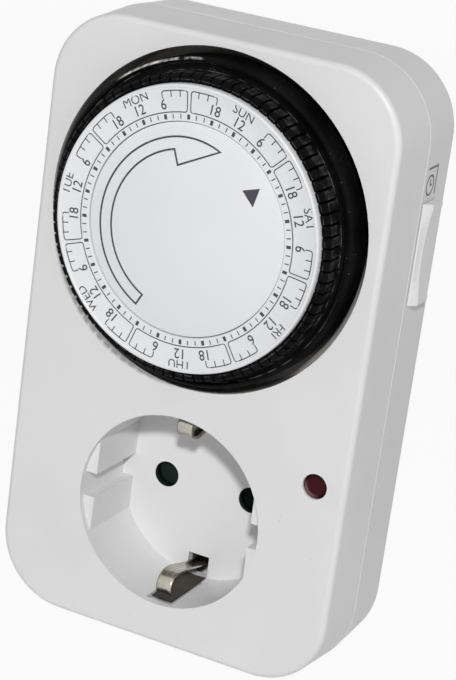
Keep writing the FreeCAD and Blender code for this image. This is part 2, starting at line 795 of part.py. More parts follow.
def make_switch():
    """Snap switch on the chassis plate and the lever that feels the pushed tabs."""
    z = S.dial_height
    start = front + S.plate_depth - 5.4
    case = block((2.0, start, z - 5.0), (21.0, 5.4, 10.0))
    notch = block((1.0, start - 0.5, z - 6.0), (4.0, 1.3, 12.0))
    stud = rod((14.0, start - 2.5, z), 0.9, 2.6)
    prong_start = start + 5.0
    prong_length = strip_front() - prong_start
    prongs = [
        block((x - 0.8, prong_start, z - 2.0), (1.6, prong_length, 2.0)) for x in terminal_places()
    ]
    keep(joined([less(case, [notch]), stud] + prongs), "snap_switch")

    arm_top = front + well_end + 1.2
    arm = block((13.0, arm_top, z - 1.4), (tab_outer - 13.0, 1.2, 2.8))
    nose_start = front + S.tab_foot + S.tab_travel + 0.1
    nose = block((tab_inner + 0.3, nose_start, z - 1.0), (1.0, 4.0, 2.0))
    eye = rod((21.0, arm_top + 1.6, z - 1.4), 1.5, 2.8, along="Z")
    hole = rod((21.0, arm_top + 1.6, z - 2.0), 0.65, 4.0, along="Z")
    keep(less(joined([arm, nose, eye]), [hole]), "trip_lever")
    pin = rod((21.0, arm_top + 1.6, z - 3.6), 0.6, 7.2, along="Z")
    foot_low = block((20.0, arm_top + 0.8, z - 3.6), (2.0, start - arm_top - 0.8, 1.6))
    foot_high = block((20.0, arm_top + 0.8, z + 2.0), (2.0, start - arm_top - 0.8, 1.6))
    keep(joined([pin, foot_low, foot_high]), "lever_pivot")


def make_slider():
    """Side knob with a hollowed face, on a stem that passes the slot in the rear shell."""
    y = front + S.knob_front
    z_low = S.dial_height - S.knob_length / 2
    x_low = S.half_width + 0.1
    x_high = S.half_width - 0.2 + S.knob_rise
    cap = block((x_low, y, z_low), (x_high - x_low, S.knob_width, S.knob_length))
    chord = S.knob_length / 2
    hollow_radius = (chord * chord + S.knob_dip * S.knob_dip) / (S.knob_dip * 2)
    hollow_x = x_high - S.knob_dip + hollow_radius
    hollow = rod((hollow_x, y - 1.0, S.dial_height), hollow_radius, S.knob_width + 2.0)
    stem_y = y + (S.knob_width - S.stem_thick) / 2
    stem_low = S.dial_height - S.stem_half
    stem_x = S.half_width - 6.1
    stem = block((stem_x, stem_y, stem_low), (x_low - stem_x, S.stem_thick, S.stem_half * 2))
    keep(joined([less(cap, [hollow]), stem]), "mode_slider")
    rail_y = stem_y - 1.3
    rail_depth = front + S.plate_depth - rail_y
    rail = block((stem_x - 5.5, rail_y, S.dial_height - 9.0), (7.0, rail_depth, 14.0))
    room_low = stem_low - S.knob_travel - 0.2
    room_high = S.dial_height + S.stem_half + 0.2
    room_depth = S.stem_thick + 0.2
    room = block((stem_x - 0.7, stem_y - 0.1, room_low), (4.0, room_depth, room_high - room_low))
    keep(less(rail, [room]), "slider_switch")


# Contacts, strips, shutter and lamp


def make_pins():
    """Plug pins with riveted heads and rounded tips."""
    head = S.root_radius + S.rivet_head
    for side, label in ((-1, "neutral_pin"), (1, "live_pin")):
        body = new_body(label, half_pitch * side, 0, 0)
        tip = S.pin_length
        profile = [
            (0, pin_head),
            (head, pin_head),
            (head, pin_shoulder),
            (S.root_radius, pin_shoulder),
            (S.root_radius, 0),
            (S.pin_radius, 0),
            (S.pin_radius, tip - 1.6),
            (S.pin_radius - 0.5, tip - 0.5),
            (S.pin_radius - 1.4, tip),
            (0, tip),
        ]
        revolve(body, profile)


def make_carrier():
    """Insulating block in the plug's hollow that holds both pins."""
    start = pin_shoulder - 1.0
    through = S.carrier_thick + 2.0
    base = rod((0, pin_shoulder, 0), S.plug_hollow, S.carrier_thick)
    tools = []
    for side in (1, -1):
        tools.append(rod((half_pitch * side, start, 0), S.root_radius, through))
        tools.append(block((-1.2, start, 9.0 * side - 2.0), (2.4, through, 4.0)))
    keep(less(base, tools), "contact_carrier")


def make_sleeves():
    """Spring sleeves behind the pin entries, each slit in four, and their strips."""
    start = cup_back + 2.6
    bore_radius = S.pin_radius + 0.1
    neutral_end = pin_head
    live_end = pin_head - 2.2
    for x, label, end, bore_end in (
        (-half_pitch, "neutral_sleeve", neutral_end, neutral_end - 0.8),
        (half_pitch, "live_sleeve", live_end, live_end + 1.0),
    ):
        slit = end - start - 6.0
        tube = rod((x, start, 0), S.sleeve_radius, end - start)
        bore = rod((x, start - 1.0, 0), bore_radius, bore_end - start + 1.0)
        slit_a = block((x - 0.3, start - 1.0, -4.0), (0.6, slit + 1.0, 8.0))
        slit_b = block((x - 4.0, start - 1.0, -0.3), (8.0, slit + 1.0, 0.6))
        keep(less(tube, [bore, slit_a, slit_b]), label)

    thin = S.strip_thick
    wide = S.strip_width
    rise_y = strip_front()
    top = S.dial_height + 1.0
    feed_x = terminal_places()[0] - wide / 2
    out_x = half_pitch - wide / 2

    out_y = live_end - 3.0
    out_z = 9.0
    eye = block((half_pitch - 4.1, out_y, -4.0), (8.2, thin, 8.2))
    neck = block((out_x, out_y, 0), (wide, thin, out_z + thin))
    run = block((out_x, rise_y, out_z), (wide, out_y + thin - rise_y, thin))
    climb = block((out_x, rise_y, out_z), (wide, thin, top - out_z))
    seat = rod((half_pitch, out_y - 1.0, 0), S.sleeve_radius, 3.0)
    keep(less(joined([eye, neck, run, climb]), [seat]), "live_out_strip")

    feed_y = pin_head - thin
    feed_z = 12.4
    foot = block((feed_x, feed_y, -2.0), (half_pitch + 2.0 - feed_x, thin, 4.0))
    neck = block((feed_x, feed_y, 0), (wide, thin, feed_z + thin))
    run = block((feed_x, rise_y, feed_z), (wide, feed_y + thin - rise_y, thin))
    climb = block((feed_x, rise_y, feed_z), (wide, thin, top - feed_z))
    keep(joined([foot, neck, run, climb]), "live_feed_strip")


def make_earth():
    """Upper and lower earth springs, from the recess to the plug's side, and their link."""
    thin = S.strip_thick
    lead = cup_end + 1.0
    tail = back + S.plug_length - 4.0
    clip_half = S.slot_half - 0.2
    for side, label in ((1, "earth_spring_upper"), (-1, "earth_spring_lower")):
        body = new_body(label)
        start = front + 2.4
        line = [
            (start, 18.0), (start + 1.6, 16.6), (start + 5.0, 16.0), (lead, S.clip_seat),
            (back - 0.5, S.clip_seat), (tail - 6.0, 18.2), (tail, 17.3),
        ]
        under = [(y, z - thin) for y, z in reversed(line)]
        corners = [(y, z * side) for y, z in line + under]
        sketch = outline(body, "YZ", 0, corners)
        feature(body, "Pad", Profile=sketch, Length=clip_half * 2, Midplane=True)
    link_half = S.clip_seat - thin
    keep(block((-2.0, cup_back + 4.8, -link_half), (4.0, thin, link_half * 2)), "earth_link")


def make_shutter():
    """Turning shutter behind the pin entries, with its return spring on the peg."""
    start = cup_back + 0.3
    bar = block((-half_pitch, start, -1.8), (S.pin_pitch, 1.2, 3.6))
    pads = [rod((half_pitch * side, start, 0), 3.2, 1.2) for side in (1, -1)]
    hub = rod((0, start, 0), 3.6, 1.2)
    bore = rod((0, start - 1.0, 0), 2.0 + S.running_gap, 4.0)
    keep(less(joined([bar, hub] + pads), [bore]), "shutter")
    coil_y = start + 1.3
    coil = less(rod((0, coil_y, 0), 2.5, 0.5), [rod((0, coil_y - 1.0, 0), 2.0, 3.0)])
    arm = block((2.0, coil_y, 0), (0.5, 0.5, 5.0))
    keep(joined([coil, arm]), "shutter_spring")


def make_lamp():
    x, z = lamp_across, S.lamp_height
    body = new_body("lamp_window", x, front, z)
    radius = S.lamp_radius
    dome = [(0, 0.3), (radius - 0.5, 0.35), (radius, 0.6), (radius, 2.2), (radius - 0.6, 2.6), (0, 2.6)]
    revolve(body, dome)
    body = new_body("neon_lamp", x, front, z)
    revolve(body, [(0, 2.6), (0.8, 2.6), (1.6, 3.3), (2.0, 4.4), (2.0, 11.6), (0, 11.6)])
    drum = rod((x, front + 13.0, z - 1.0), 1.1, 6.0)
    lead = rod((x, front + 11.6, z), 0.3, 1.4)
    keep(joined([drum, lead]), "lamp_resistor")


def make_housing_screws():
    screws = []
    for x, z in screw_places:
        head_y = back - S.screw_sink
        head = rod((x, head_y, z), S.screw_head, 1.6)
        shank = rod((x, seam - 8.0, z), S.screw_radius - 0.05, head_y - seam + 8.0)
        cross_a = block((x - 1.6, head_y + 0.8, z - 0.35), (3.2, 1.0, 0.7))
        cross_b = block((x - 0.35, head_y + 0.8, z - 1.6), (0.7, 1.0, 3.2))
        screws.append(less(joined([head, shank]), [cross_a, cross_b]))
    group = doc.addObject("Part::Compound", "group")
    group.Links = screws
    keep(group, "housing_screws")


make_front_cover()
make_rear_cover()
make_dial_wheel()
make_scale_ring()
make_centre_cap()
make_tabs()
make_transfer_gear()
make_motor()
make_chassis()
make_switch()
make_slider()
make_pins()
make_carrier()
make_sleeves()
make_earth()
make_shutter()
make_lamp()
make_housing_screws()
doc.recompute()

# Checks and output

for item in doc.Objects:
    if "Invalid" in item.State or "Error" in item.State:
        raise RuntimeError("%s failed: %s" % (item.Label, item.State))
os.makedirs("parts", exist_ok=True)
for piece in nodes:
    shape = piece.Shape
    if shape.isNull() or not shape.isValid():
        raise RuntimeError("%s has no valid shape" % piece.Label)
    shape.exportStep("parts/%s.step" % piece.Label)
    print("%-20s %2d solids %9.1f mm3" % (piece.Label, len(shape.Solids), shape.Volume))
print("nodes", len(nodes))
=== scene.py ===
import json
import math

import bpy
from mathutils import Matrix, Vector


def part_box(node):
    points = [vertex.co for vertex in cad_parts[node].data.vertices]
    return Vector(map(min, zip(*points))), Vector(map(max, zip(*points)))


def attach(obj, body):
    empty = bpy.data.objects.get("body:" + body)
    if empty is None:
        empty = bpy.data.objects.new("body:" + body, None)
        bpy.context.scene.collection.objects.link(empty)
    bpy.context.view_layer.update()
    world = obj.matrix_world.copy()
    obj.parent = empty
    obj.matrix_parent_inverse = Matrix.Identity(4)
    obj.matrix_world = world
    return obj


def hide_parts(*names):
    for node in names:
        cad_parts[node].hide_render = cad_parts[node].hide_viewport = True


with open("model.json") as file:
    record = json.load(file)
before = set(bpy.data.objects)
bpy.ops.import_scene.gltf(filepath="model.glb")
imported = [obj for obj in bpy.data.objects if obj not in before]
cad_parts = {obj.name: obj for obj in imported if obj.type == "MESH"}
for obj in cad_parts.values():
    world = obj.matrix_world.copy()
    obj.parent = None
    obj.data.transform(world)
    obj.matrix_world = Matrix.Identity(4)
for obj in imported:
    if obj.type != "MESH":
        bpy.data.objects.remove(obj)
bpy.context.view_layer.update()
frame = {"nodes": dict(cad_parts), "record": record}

# Places and sizes, in metres, mostly read from the frame

MM = 0.001


def middle_of(node):
    low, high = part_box(node)
    return (low + high) / 2


shell_low, shell_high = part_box("rear_cover")
knob_low, knob_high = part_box("mode_slider")
lens_low, lens_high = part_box("lamp_window")

HALF_WIDTH = shell_high.x
TOP_EDGE = shell_high.z
BOTTOM_EDGE = shell_low.z
SEAM = shell_low.y
PLUG_LENGTH = 17.5 * MM
BACK = -PLUG_LENGTH
REAR_LEAN = 0.5 * MM / (BACK - SEAM)
CORNER = 15.0 * MM

CAP_RISE = 8.0 * MM
RING_RISE = 8.4 * MM
CAP_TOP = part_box("centre_cap")[0].y
FRONT = CAP_TOP + CAP_RISE
RING_TOP = FRONT - RING_RISE
DIAL_Z = middle_of("dial_wheel").z
WELL_EDGE = 33.0 * MM
WELL_DEPTH = 8.2 * MM

LENS_X = middle_of("lamp_window").x
LENS_Z = middle_of("lamp_window").z
LENS_RADIUS = (lens_high.x - lens_low.x) / 2

# The dial's division, in degrees

TAB_COUNT = 84
TAB_PITCH = 360.0 / TAB_COUNT
DAY_ANGLE = 360.0 / 7
HOUR = DAY_ANGLE / 24
PRINT_TURN = -0.85
FIRST_MIDNIGHT = 22.5 * TAB_PITCH + PRINT_TURN


# Shader sockets with plain arithmetic


class Wire:
    """A shader socket that can be added, taken away, multiplied and divided."""

    def __init__(self, finish, socket):
        self.finish = finish
        self.socket = socket

    def maths(self, operation, *terms):
        inputs = dict(enumerate(terms))
        return self.finish.node("ShaderNodeMath", {"operation": operation}, inputs)["Value"]

    def __add__(self, other):
        return self.maths("ADD", self, other)

    def __radd__(self, other):
        return self.maths("ADD", other, self)

    def __sub__(self, other):
        return self.maths("SUBTRACT", self, other)

    def __rsub__(self, other):
        return self.maths("SUBTRACT", other, self)

    def __mul__(self, other):
        return self.maths("MULTIPLY", self, other)

    def __rmul__(self, other):
        return self.maths("MULTIPLY", other, self)

    def __abs__(self):
        return self.maths("ABSOLUTE", self)

    def root(self):
        return self.maths("SQRT", self)

    def sine(self):
        return self.maths("SINE", self)

    def larger(self, other):
        return self.maths("MAXIMUM", self, other)

    def direction(self, across):
        """The angle of a place that lies this high and that far across."""
        return self.maths("ARCTAN2", self, across)

    def between(self, low, high):
        """0 at low, 1 at high, and a soft step in between."""
        inputs = {"Value": self, "From Min": low, "From Max": high}
        settings = {"interpolation_type": "SMOOTHSTEP"}
        return self.finish.node("ShaderNodeMapRange", settings, inputs)["Result"]

    def near(self, middle, half):
        """1 close to the middle, 0 from half on to either side; both are in metres."""
        return 1 - abs(self - middle).between(half * 0.6, half)


class MadeNode:
    """A node whose outputs are read as wires, by name or number."""

    def __init__(self, finish, node):
        self.finish = finish
        self.node = node

    def __getitem__(self, output):
        return Wire(self.finish, self.node.outputs[output])


class Finish:
    """The nodes of a material or a world; every node of it comes from the method node."""

    def __init__(self, owner):
        self.owner = owner
        self.owner.use_nodes = True
        self.tree = owner.node_tree
        self.tree.nodes.clear()

    def node(self, kind, settings=None, inputs=None):
        """One node: its settings first, then the values or links of its sockets."""
        node = self.tree.nodes.new(kind)
        for name, setting in (settings or {}).items():
            setattr(node, name, setting)
        for name, term in (inputs or {}).items():
            socket = node.inputs[name]
            if isinstance(term, Wire):
                self.tree.links.new(term.socket, socket)
            elif socket.type == "RGBA":
                socket.default_value = (*term, 1.0)
            else:
                socket.default_value = term
        return MadeNode(self, node)

    def place(self):
        """Where a point lies in the part's own frame, in metres."""
        return self.node("ShaderNodeTexCoord")["Object"]

    def axes(self, place):
        parts = self.node("ShaderNodeSeparateXYZ", None, {"Vector": place})
        return parts["X"], parts["Y"], parts["Z"]

    def noise(self, place, per_metre, detail=2.0, stretch=None):
        if stretch:
            settings = {"operation": "MULTIPLY"}
            place = self.node("ShaderNodeVectorMath", settings, {0: place, 1: stretch})["Vector"]
        inputs = {"Vector": place, "Scale": per_metre, "Detail": detail}
        return self.node("ShaderNodeTexNoise", None, inputs)["Fac"]

    def specks(self, place, per_metre, size):
        """1 inside small round specks scattered over the surface, 0 elsewhere."""
        inputs = {"Vector": place, "Scale": per_metre}
        away = self.node("ShaderNodeTexVoronoi", {"feature": "F1"}, inputs)["Distance"]
        return 1 - away.between(size * 0.6, size)

    def tint(self, mask, first, second):
        """A colour that goes from the first to the second with the mask."""
        inputs = {0: mask, 6: first, 7: second}
        return self.node("ShaderNodeMix", {"data_type": "RGBA"}, inputs)[2]

    def bump(self, height, distance):
        return self.node("ShaderNodeBump", None, {"Height": height, "Distance": distance})["Normal"]

    def seen(self):
        """1 where the camera sees a surface, also by a mirror image or through glass."""
        path = self.node("ShaderNodeLightPath")
        return path["Is Camera Ray"].larger(path["Is Glossy Ray"]).larger(path["Is Transmission Ray"])

    def close(self, **sockets):
        """Ends the material with its one surface shader."""
        inputs = {name.replace("_", " "): term for name, term in sockets.items()}
        shader = self.node("ShaderNodeBsdfPrincipled", None, inputs)
        self.node("ShaderNodeOutputMaterial", None, {"Surface": shader["BSDF"]})
        return self.owner


def new_finish(name):
    return Finish(bpy.data.materials.new(name))


def reach(across, height):
    """Distance of a place from an axis."""
    return (across * across + height * height).root()


# Plastics

WHITE = (0.76, 0.76, 0.765)
WHITE_SHADE = (0.735, 0.735, 0.742)
DUST = (0.30, 0.28, 0.25)
# Painted shade for the wall of the dial's well
WELL_PAINTED_SHADE = (0.20, 0.180, 0.162)


def moulded_surface(finish, place, colour, shade, dust):
    """Colour, uneven gloss and fine grain that all moulded plastic shares."""
    clouds = finish.noise(place, per_metre=45.0, detail=3.0)
    grain = finish.noise(place, per_metre=2600.0)
    colour = finish.tint(clouds.between(0.35, 0.7), colour, shade)
    if dust:
        patches = finish.noise(place, per_metre=60.0).between(0.5, 0.6)
        specks = finish.specks(place, per_metre=330.0, size=0.06) * patches
        colour = finish.tint(specks * dust, colour, DUST)
    uneven = (grain - 0.5) * 0.12 + (clouds - 0.5) * 0.06
    return colour, uneven, grain


def moulded_plastic(name, colour, shade, roughness, relief, dust=0.0, bend=1.45):
    """Satin plastic: fine spark grain, faint flow clouds and a few dust specks."""
    finish = new_finish(name)
    colour, uneven, grain = moulded_surface(finish, finish.place(), colour, shade, dust)
    return finish.close(
        Base_Color=colour,
        Roughness=roughness + uneven,
        IOR=bend,
        Normal=finish.bump(grain, relief),
    )


def shell_plastic(name):
    """The housing's satin white, with painted shade on the wall of the dial's well, patchy by noise.
    """
    finish = new_finish(name)
    place = finish.place()
    x, y, z = finish.axes(place)
    depth = y - FRONT
    # Painted shade: the well's wall below the rim and above the floor is darkened in patches
    opening = 1 - reach(x, z - DIAL_Z).between(WELL_EDGE - 0.05 * MM, WELL_EDGE + 0.1 * MM)
    below_rim = depth.between(0.25 * MM, 1.3 * MM)
    above_floor = 1 - depth.between(WELL_DEPTH, WELL_DEPTH + 0.8 * MM)
    painted_shade_strength = 0.75 + finish.noise(place, per_metre=180.0, detail=4.0) * 0.25
    colour, uneven, grain = moulded_surface(finish, place, WHITE, WHITE_SHADE, 0.25)
    return finish.close(
        Base_Color=finish.tint(opening * below_rim * above_floor * painted_shade_strength, colour, WELL_PAINTED_SHADE),
        Roughness=0.42 + uneven,
        Normal=finish.bump(grain, 0.010 * MM),
    )


BLACK = (0.003, 0.003, 0.0034)
BLACK_SHADE = (0.007, 0.007, 0.0078)
# Pale tone of the wheel's round and groove edges: partly wear, partly painted highlight
EDGE_WEAR_AND_SHEEN = (0.34, 0.34, 0.34)
BLACK_DUST = (0.32, 0.32, 0.31)
# Painted highlight on the flange's rim at the upper left
RIM_PAINTED_HIGHLIGHT = (0.80, 0.79, 0.78)
TURNING_PITCH = 0.42 * MM
GROOVE_DEPTH = -6.2 * MM
RIM_TOP_DEPTH = -2.75 * MM
RIM_RADIUS = 30.8 * MM
# Direction of the rim's painted highlight, in radians counter-clockwise from the right
HIGHLIGHT_ANGLE = 1.98


def worn_edges(radius, depth):
    """Masks of the wheel's round edges, and of the edges of its groove."""
    round_edges = (
        radius.near(28.75 * MM, 0.10 * MM)
        + radius.near(29.95 * MM, 0.12 * MM)
        + radius.near(27.55 * MM, 0.06 * MM)
    )
    from_groove = abs(depth - GROOVE_DEPTH)
    groove_edges = from_groove.near(0.4 * MM, 0.05 * MM) + from_groove.near(1.6 * MM, 0.05 * MM)
    return round_edges, groove_edges


def rubbed_rim(radius, angle, depth):
    """Mask of the flange's rim at the upper left, where a pale highlight is painted on it."""
    rim = radius.near(RIM_RADIUS, 0.30 * MM) * (1 - abs(angle - HIGHLIGHT_ANGLE).between(0.20, 0.34))
    return rim * (1 - (depth - RIM_TOP_DEPTH).between(0.0, 0.25 * MM))


def dial_plastic(name, radial_lines):
    """Black satin plastic with turned rings, fine radial lines, pale edge lines that are partly wear
    and partly painted highlight, pale dust, and a painted highlight on the flange's rim at the upper
    left.
    """
    finish = new_finish(name)
    place = finish.place()
    x, y, z = finish.axes(place)
    up = z - DIAL_Z
    depth = y - FRONT
    angle = up.direction(x)
    radius = reach(x, up)
    grain = finish.noise(place, per_metre=2200.0, detail=3.0)
    clouds = finish.noise(place, per_metre=130.0, detail=3.0)
    dust = finish.specks(place, per_metre=1100.0, size=0.12) * clouds.between(0.48, 0.62)
    wear_and_sheen_breakup = finish.noise(place, per_metre=420.0, detail=4.0).between(0.40, 0.62)
    round_edges, groove_edges = worn_edges(radius, depth)
    colour = finish.tint(clouds.between(0.3, 0.75), BLACK, BLACK_SHADE)
    # Pale lines on the round edges and the groove's edges: partly wear, partly painted highlight
    # where the edges catch the light
    colour = finish.tint(wear_and_sheen_breakup * round_edges * 0.34, colour, EDGE_WEAR_AND_SHEEN)
    colour = finish.tint(wear_and_sheen_breakup * groove_edges * 0.14, colour, EDGE_WEAR_AND_SHEEN)
    colour = finish.tint(dust * 0.5, colour, BLACK_DUST)
    # Painted highlight on the flange's rim at the upper left, broken up by noise
    colour = finish.tint(rubbed_rim(radius, angle, depth) * wear_and_sheen_breakup, colour, RIM_PAINTED_HIGHLIGHT)
    rings = (radius * (2 * math.pi / TURNING_PITCH)).sine()
    spokes = (angle * radial_lines).sine()
    return finish.close(
        Base_Color=colour,
        Roughness=0.50 + (clouds - 0.5) * 0.25 + dust * 0.2,
        IOR=1.10,
        Normal=finish.bump(grain * 0.35 + rings * 0.16 + spokes * 0.22, 0.05 * MM),
    )


LENS_RED = (0.045, 0.004, 0.007)
LENS_RIM = (0.010, 0.002, 0.003)
# Painted light falling through the lens onto the lower left of the bore
LENS_PAINTED_LIGHT = (0.36, 0.20, 0.19)


def lens_plastic(name):
    """Clear red plastic over a dark bore: darker rim, a painted crescent of light at the lower left,
    moulded ribs.
    """
    finish = new_finish(name)
    place = finish.place()
    x, y, z = finish.axes(place)
    across = (x - LENS_X) * (1 / LENS_RADIUS)
    height = (z - LENS_Z) * (1 / LENS_RADIUS)
    away = reach(across, height)
    ribs = (finish.noise(place, per_metre=1500.0) - 0.5) * 0.5
    # Painted light: a paler crescent at the lower left, across from the key light
    lower_left = (0 - across - height).between(0.2, 1.5)
    painted_light_crescent = lower_left * away.between(0.55, 0.75) * (1 - away.between(0.86, 0.98))
    colour = finish.tint(away.between(0.50, 0.98), LENS_RED, LENS_RIM)
    return finish.close(
        Base_Color=finish.tint(painted_light_crescent * 0.7, colour, LENS_PAINTED_LIGHT),
        Roughness=0.22 + ribs * 0.1,
        IOR=1.18,
        Normal=finish.bump(ribs, 0.10 * MM),
    )


# Ink, metal and glass

THIN_INK = (0.42, 0.42, 0.43)


def printing_ink(name, colour):
    """Pad-printed ink, slightly broken where it is thin."""
    finish = new_finish(name)
    thin = finish.noise(finish.place(), per_metre=900.0, detail=3.0).between(0.62, 0.80)
    return finish.close(
        Base_Color=finish.tint(thin * 0.35, colour, THIN_INK),
        Roughness=0.42 + thin * 0.2,
    )


def sheet_metal(name, colour, shade, roughness, stretch):
    """Rolled or drawn metal with fine lengthwise lines and light stains."""
    finish = new_finish(name)
    place = finish.place()
    lines = finish.noise(place, per_metre=1500.0, detail=3.0, stretch=stretch)
    stains = finish.noise(place, per_metre=260.0, detail=3.0)
    return finish.close(
        Base_Color=finish.tint(stains.between(0.35, 0.7), colour, shade),
        Metallic=1.0,
        Roughness=roughness + (lines - 0.5) * 0.22 + (stains - 0.5) * 0.10,
        Normal=finish.bump(lines, 0.02 * MM),
    )


def clear_glass(name):
    """The neon lamp's glass, hazed a warm grey."""
    finish = new_finish(name)
    haze = finish.noise(finish.place(), per_metre=600.0)
    return finish.close(
        Base_Color=finish.tint(haze, (0.80, 0.62, 0.52), (0.70, 0.50, 0.42)),
        Roughness=0.08 + haze * 0.08,
        Coat_Weight=0.5,
    )


# One finish per name: the maker of it, then what the maker is told

RECIPES = {
    "housing_white": (shell_plastic, dict()),
    "slider_white": (moulded_plastic, dict(
        colour=WHITE, shade=WHITE_SHADE, roughness=0.36, relief=0.006 * MM,
    )),
    "dial_white": (moulded_plastic, dict(
        colour=(0.79, 0.80, 0.815), shade=(0.77, 0.78, 0.80),
        roughness=0.34, relief=0.004 * MM, dust=0.15,
    )),
    "wheel_black": (dial_plastic, dict(radial_lines=6 * TAB_COUNT)),
    "tab_black": (dial_plastic, dict(radial_lines=4 * TAB_COUNT)),
    "gear_plastic": (moulded_plastic, dict(
        colour=(0.68, 0.66, 0.60), shade=(0.62, 0.60, 0.55), roughness=0.45, relief=0.006 * MM,
    )),
    "switch_black": (moulded_plastic, dict(
        colour=(0.020, 0.020, 0.022), shade=(0.03, 0.03, 0.03), roughness=0.5, relief=0.01 * MM,
    )),
    "insulation": (moulded_plastic, dict(
        colour=(0.42, 0.42, 0.40), shade=(0.38, 0.38, 0.37), roughness=0.5, relief=0.01 * MM,
    )),
    "resistor_body": (moulded_plastic, dict(
        colour=(0.60, 0.50, 0.34), shade=(0.55, 0.45, 0.30), roughness=0.6, relief=0.02 * MM,
    )),
    "shutter_green": (moulded_plastic, dict(
        colour=(0.014, 0.026, 0.023), shade=(0.009, 0.017, 0.015),
        roughness=0.7, relief=0.01 * MM, bend=1.12,
    )),
    # A dark sheet that paints the shade in the earth clips' channels
    "channel_dark": (moulded_plastic, dict(
        colour=(0.035, 0.030, 0.025), shade=(0.10, 0.09, 0.075),
        roughness=0.6, relief=0.02 * MM, bend=1.25,
    )),
    "sheet_steel": (sheet_metal, dict(
        colour=(0.58, 0.59, 0.60), shade=(0.50, 0.51, 0.52), roughness=0.34, stretch=(1, 1, 0.1),
    )),
    "nickel": (sheet_metal, dict(
        colour=(0.52, 0.49, 0.43), shade=(0.36, 0.33, 0.27), roughness=0.22, stretch=(1, 0.08, 1),
    )),
    "contact_brass": (sheet_metal, dict(
        colour=(0.70, 0.54, 0.24), shade=(0.60, 0.44, 0.19), roughness=0.32, stretch=(1, 0.1, 1),
    )),
    "lamp_red": (lens_plastic, dict()),
    "lamp_glass": (clear_glass, dict()),
    "ink": (printing_ink, dict(colour=(0.045, 0.045, 0.050))),
    "ink_violet": (printing_ink, dict(colour=(0.050, 0.045, 0.065))),
}

FINISHES = {name: maker(name, **told) for name, (maker, told) in RECIPES.items()}

# Nodes and slots whose finish has another name than their slot

OWN_FINISH = {"dial_wheel": "wheel_black", "shutter": "shutter_green"}
SLOT_FINISH = {"dial_black": "tab_black"}


def paint_cad_parts():
    """Gives every CAD node the finish of its material slot, or its own."""
    for entry in frame["record"]["subparts"]:
        slot_name = entry["material_slot"]
        name = OWN_FINISH.get(entry["node"]) or SLOT_FINISH.get(slot_name, slot_name)
        for slot in frame["nodes"][entry["node"]].material_slots:
            slot.material = FINISHES[name]


# Mesh pieces


def new_piece(name, points, faces, finish, body, smooth=False):
    mesh = bpy.data.meshes.new(name)
    mesh.from_pydata([tuple(point) for point in points], [], faces)
    mesh.validate()
    mesh.update()
    thing = bpy.data.objects.new(name, mesh)
    bpy.context.collection.objects.link(thing)
    mesh.materials.append(FINISHES[finish])
    for face in mesh.polygons:
        face.use_smooth = smooth
    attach(thing, body)
    return thing


def skin(rings, size, closed=False, start=0):
    """Faces between rings of points; a closed skin also joins the last ring to the first."""
    faces = []
    for ring in range(rings if closed else rings - 1):
        here = start + ring * size
        ahead = start + (ring + 1) % rings * size
        for index in range(size):
            after = (index + 1) % size
            faces.append((here + index, here + after, ahead + after, ahead + index))
    return faces


def ends(rings, size, start=0):
    """The two faces that close a skin at its first and last ring."""
    last = start + (rings - 1) * size
    return [tuple(range(start + size - 1, start - 1, -1)), tuple(range(last, last + size))]


def polar(radius, degrees):
    turn = math.radians(degrees)
    return (radius * math.cos(turn), radius * math.sin(turn))


def arc(radius, start, end):
    """Places along an arc, about one to a degree."""
    count = max(2, int(abs(end - start)) + 1)
    return [polar(radius, start + (end - start) * index / (count - 1)) for index in range(count)]


# Printing


class Print:
    """Flat ink on a face. Places on the face are pairs, turned into points by the face."""

    def __init__(self, to_point):
        self.to_point = to_point
        self.points = []
        self.faces = []

    def shape(self, corners):
        start = len(self.points)
        self.points += [self.to_point(a, b) for a, b in corners]
        self.faces.append(tuple(range(start, start + len(corners))))

    def line(self, path, width, closed=False):
        """A ribbon of even width along a path."""
        count = len(path)
        sides = []
        for index in range(count):
            here = Vector(path[index])
            before = Vector(path[index - 1]) if index or closed else None
            after = Vector(path[(index + 1) % count]) if index < count - 1 or closed else None
            into = (here - before).normalized() if before is not None else (after - here).normalized()
            out = (after - here).normalized() if after is not None else into
            across = Vector((-into.y - out.y, into.x + out.x)).normalized()
            mitre = max(0.5, across.dot(Vector((-into.y, into.x))))
            across *= width / 2 / mitre
            sides.append((here + across, here - across))
        for index in range(count if closed else count - 1):
            left_here, right_here = sides[index]
            left_ahead, right_ahead = sides[(index + 1) % count]
            self.shape([left_here, left_ahead, right_ahead, right_here])

    def text(self, words, centre, size, turn, squeeze):
        """Lettering centred on a place; turn is the direction of its top, in degrees."""
        curve = bpy.data.curves.new("lettering", "FONT")
        curve.body = words
        curve.size = size
        # Numbers are a little bolder; in letters an offset would fill the corners of an M
        curve.offset = size * 0.006 if words.isdigit() else 0.0
        curve.align_x = "CENTER"
        curve.align_y = "CENTER"
        curve.resolution_u = 4
        letters = bpy.data.objects.new("lettering", curve)
        bpy.context.collection.objects.link(letters)
        bpy.context.view_layer.update()
        mesh = bpy.data.meshes.new_from_object(letters)
        up = Vector(polar(1.0, turn))
        along = Vector((up.y, -up.x))
        start = len(self.points)
        for vertex in mesh.vertices:
            spot = Vector(centre) + along * (vertex.co.x * squeeze) + up * vertex.co.y
            self.points.append(self.to_point(spot.x, spot.y))
        for face in mesh.polygons:
            self.faces.append(tuple(start + index for index in face.vertices))
        bpy.data.objects.remove(letters)
        bpy.data.meshes.remove(mesh)
        bpy.data.curves.remove(curve)

    def piece(self, name, finish, body):
        return new_piece(name, self.points, self.faces, finish, body)


